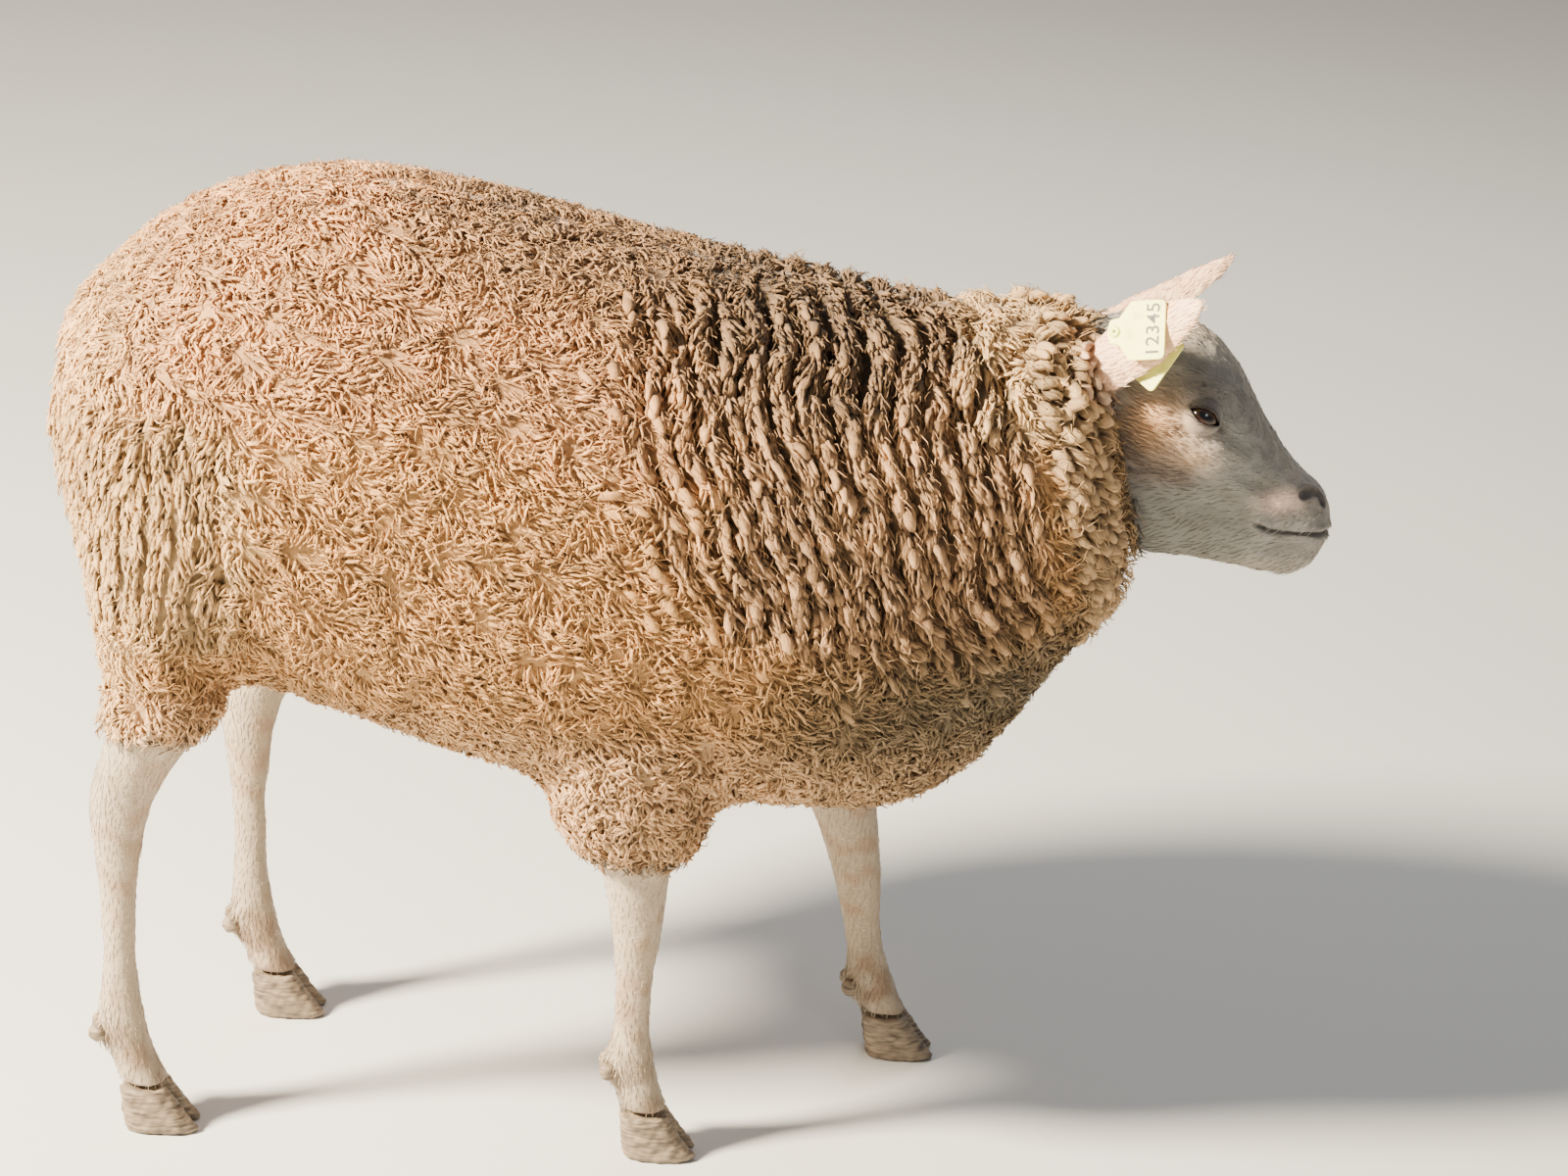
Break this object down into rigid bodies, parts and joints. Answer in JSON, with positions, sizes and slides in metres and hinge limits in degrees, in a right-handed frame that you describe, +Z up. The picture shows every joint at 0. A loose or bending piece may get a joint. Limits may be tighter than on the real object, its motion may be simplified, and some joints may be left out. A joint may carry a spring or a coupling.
{
  "type": "sheep",
  "caption": "Life-size still model of a standing, fully fleeced, white-faced ewe with an ear tag, for use as a set piece or display animal.",
  "frame": {"origin": "middle of the animal's bounding box, on the floor under it", "axes": "+X to the nose, +Y to the animal's left, +Z up"},
  "size_m": [1.0016, 0.4376, 0.7583],
  "materials": {
    "fleece": "matte woolly fleece, tan tips over darker grooves",
    "face_hair": "short white-grey hair over skin",
    "horn": "worn dark hoof horn",
    "eye": "wet dark brown",
    "tag": "moulded flexible yellow plastic"
  },
  "bodies": {
    "root": {"claw_front_left_inner": "horn", "claw_front_left_outer": "horn", "claw_front_right_inner": "horn", "claw_front_right_outer": "horn", "claw_hind_left_inner": "horn", "claw_hind_left_outer": "horn", "claw_hind_right_inner": "horn", "claw_hind_right_outer": "horn", "dewclaw_front_left_inner": "horn", "dewclaw_front_left_outer": "horn", "dewclaw_front_right_inner": "horn", "dewclaw_front_right_outer": "horn", "dewclaw_hind_left_inner": "horn", "dewclaw_hind_left_outer": "horn", "dewclaw_hind_right_inner": "horn", "dewclaw_hind_right_outer": "horn", "ear_left": "face_hair", "ear_right": "face_hair", "eye_left": "eye", "eye_right": "eye", "head": "face_hair", "leg_front_left": "fleece", "leg_front_right": "fleece", "leg_hind_left": "fleece", "leg_hind_right": "fleece", "neck": "fleece", "tag_inner": "tag", "tag_outer": "tag", "tail": "fleece", "trunk": "fleece"}
  },
  "joints": []
}
